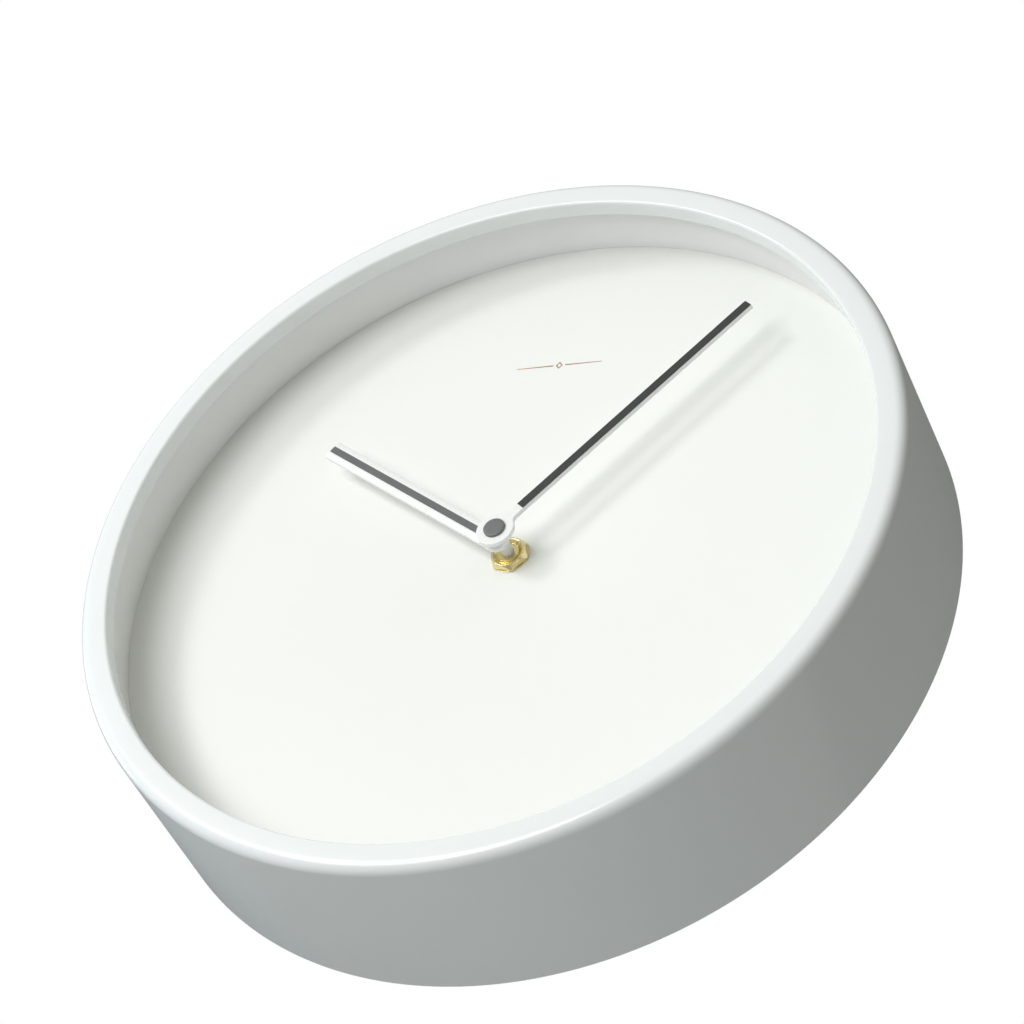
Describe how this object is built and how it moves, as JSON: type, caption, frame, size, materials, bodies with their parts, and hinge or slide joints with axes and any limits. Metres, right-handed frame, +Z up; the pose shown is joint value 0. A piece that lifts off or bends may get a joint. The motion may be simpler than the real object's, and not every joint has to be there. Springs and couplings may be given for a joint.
{
  "type": "wall clock",
  "caption": "Round battery wall clock: deep white drum case with a narrow rim, recessed blank dial under flat glass, straight hour and minute hands, quartz movement and keyhole hanger.",
  "frame": {"origin": "centre of the keyhole's seat, where the wall screw's shank bears, on the wall plane", "axes": "+Z up, through twelve o'clock as the clock hangs; +X to the right as the dial is seen; +Y into the wall, so the dial faces -Y"},
  "size_m": [0.3, 0.068, 0.3],
  "materials": {
    "back_plastic": "textured moulded plastic",
    "battery_steel": "nickel plated steel cap",
    "battery_wrap": "plain shrink wrap",
    "board_green": "solder-masked circuit board",
    "bobbin_white": "natural nylon",
    "brass_yellow": "polished yellow brass",
    "bumper_rubber": "soft black rubber",
    "cap_grey": "dark grey moulded cap",
    "case_paint": "gloss moulded white plastic",
    "chip_epoxy": "black epoxy blob",
    "contact_nickel": "nickel plated spring strip",
    "copper_wire": "enamelled copper wire",
    "crystal_can": "drawn metal can",
    "dial_board": "plain moulded backing plate",
    "dial_print": "matte printed off-white dial",
    "gear_nylon": "natural nylon gear",
    "hand_white": "white painted aluminium",
    "inner_white": "satin moulded white plastic",
    "knob_plastic": "grey moulded plastic",
    "lens": "clear flat mineral glass",
    "magnet_dark": "sintered magnet",
    "movement_black": "black moulded plastic",
    "rubber_black": "black rubber",
    "seal_foam": "dark closed-cell foam seal",
    "shaft_steel": "turned steel shaft",
    "shaft_white": "white moulded pipe and wheel",
    "stator_steel": "soft iron laminate",
    "steel_zinc": "zinc plated steel",
    "stripe_black": "black paint, satin",
    "stripe_grey": "black paint, satin"
  },
  "bodies": {
    "case": {"case_shell": "case_paint", "lens_gasket": "seal_foam", "lens_glass": "lens", "spacer_ring": "inner_white", "dial_face": "dial_print", "dial_plate": "dial_board", "rear_sleeve": "back_plastic", "back_cover": "back_plastic", "back_cover_screws": "steel_zinc", "hanger_plate": "steel_zinc", "hanger_rivets": "steel_zinc", "wall_bumpers": "bumper_rubber", "movement_front_case": "movement_black", "movement_back_case": "movement_black", "rubber_washer": "rubber_black", "threaded_bushing": "brass_yellow", "nut_washer": "brass_yellow", "mounting_nut": "brass_yellow", "circuit_board": "board_green", "ic_chip": "chip_epoxy", "quartz_crystal": "crystal_can", "coil_bobbin": "bobbin_white", "coil_winding": "copper_wire", "stator_plate": "stator_steel", "battery_contact_negative": "contact_nickel", "battery_contact_positive": "contact_nickel"},
    "battery": {"battery_can": "battery_wrap", "battery_cap": "battery_steel"},
    "minute": {"minute_shaft": "shaft_steel", "minute_hand": "hand_white", "minute_hand_stripe": "stripe_black", "centre_cap": "cap_grey"},
    "hour": {"hour_wheel": "shaft_white", "hour_hand": "hand_white", "hour_hand_stripe": "stripe_grey"},
    "motion_wheel": {"minute_wheel": "gear_nylon"},
    "knob": {"setting_knob": "knob_plastic"},
    "seconds": {"seconds_wheel": "gear_nylon"},
    "third": {"third_wheel": "gear_nylon"},
    "centre": {"centre_wheel": "gear_nylon"},
    "intermediate": {"intermediate_wheel": "gear_nylon"},
    "rotor": {"rotor_pinion": "gear_nylon", "rotor_magnet": "magnet_dark"}
  },
  "joints": [
    {"name": "minute_hand_turn", "type": "hinge", "parent": "case", "child": "minute", "pos_m": [0, -0.053, -0.112], "axis": [0, 1, 0], "continuous": true},
    {"name": "hour_hand_turn", "type": "hinge", "parent": "case", "child": "hour", "pos_m": [0, -0.048, -0.112], "axis": [0, 1, 0], "continuous": true},
    {"name": "motion_wheel_turn", "type": "hinge", "parent": "case", "child": "motion_wheel", "pos_m": [-0.00866, -0.0306, -0.107], "axis": [0, 1, 0], "continuous": true},
    {"name": "setting_knob_turn", "type": "hinge", "parent": "case", "child": "knob", "pos_m": [-0.01966, -0.019, -0.107], "axis": [0, 1, 0], "continuous": true},
    {"name": "seconds_wheel_turn", "type": "hinge", "parent": "case", "child": "seconds", "pos_m": [0.01498, -0.0255, -0.10614], "axis": [0, 1, 0], "continuous": true},
    {"name": "third_wheel_turn", "type": "hinge", "parent": "case", "child": "third", "pos_m": [0.00958, -0.0272, -0.11549], "axis": [0, 1, 0], "continuous": true},
    {"name": "centre_wheel_turn", "type": "hinge", "parent": "case", "child": "centre", "pos_m": [0, -0.0289, -0.112], "axis": [0, 1, 0], "continuous": true},
    {"name": "intermediate_wheel_turn", "type": "hinge", "parent": "case", "child": "intermediate", "pos_m": [0.00719, -0.0238, -0.10164], "axis": [0, 1, 0], "continuous": true},
    {"name": "rotor_turn", "type": "hinge", "parent": "case", "child": "rotor", "pos_m": [0.00113, -0.0238, -0.09814], "axis": [0, 1, 0], "continuous": true},
    {"name": "battery_slide", "type": "slide", "parent": "case", "child": "battery", "axis": [0, 1, 0], "range_m": [0, 0.04]}
  ],
  "couplings": [
    {"joint": "motion_wheel_turn", "follows": "minute_hand_turn", "ratio": -0.33333},
    {"joint": "hour_hand_turn", "follows": "minute_hand_turn", "ratio": 0.083333},
    {"joint": "setting_knob_turn", "follows": "minute_hand_turn", "ratio": 0.71429},
    {"joint": "intermediate_wheel_turn", "follows": "seconds_wheel_turn", "ratio": -5},
    {"joint": "rotor_turn", "follows": "seconds_wheel_turn", "ratio": 30},
    {"joint": "third_wheel_turn", "follows": "seconds_wheel_turn", "ratio": -0.125},
    {"joint": "centre_wheel_turn", "follows": "seconds_wheel_turn", "ratio": 0.016667}
  ]
}
